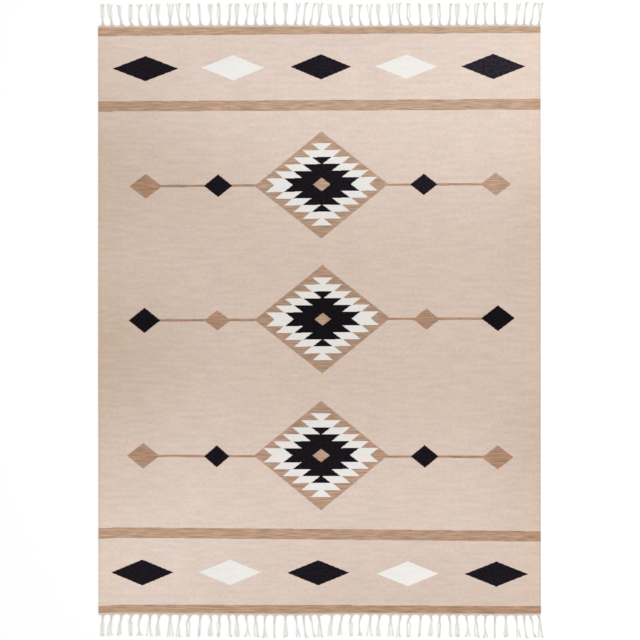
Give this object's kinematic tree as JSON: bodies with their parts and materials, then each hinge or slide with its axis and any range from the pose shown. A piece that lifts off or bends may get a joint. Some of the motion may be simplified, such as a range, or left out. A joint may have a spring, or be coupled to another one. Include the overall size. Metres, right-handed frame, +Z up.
{
  "type": "kilim rug",
  "caption": "Flat rectangular flatwoven kilim rug with stripes, diamonds and serrated medallions, and knotted warp fringe at both ends.",
  "frame": {"origin": "centre of the rug's underside, on the floor", "axes": "+X across the rug to the right of the pattern, +Y along the rug towards its far fringe, +Z up out of the face"},
  "size_m": [1.3984, 2.0098, 0.004],
  "materials": {
    "flatweave": "weft-faced cotton flatweave, matte, ribbed along the warps, in beige, tan, black and white",
    "warp_cotton": "undyed plied cotton warp yarn, matte"
  },
  "bodies": {
    "root": {"rug_cloth": "flatweave", "fringe_top": "warp_cotton", "fringe_bottom": "warp_cotton"}
  },
  "joints": []
}
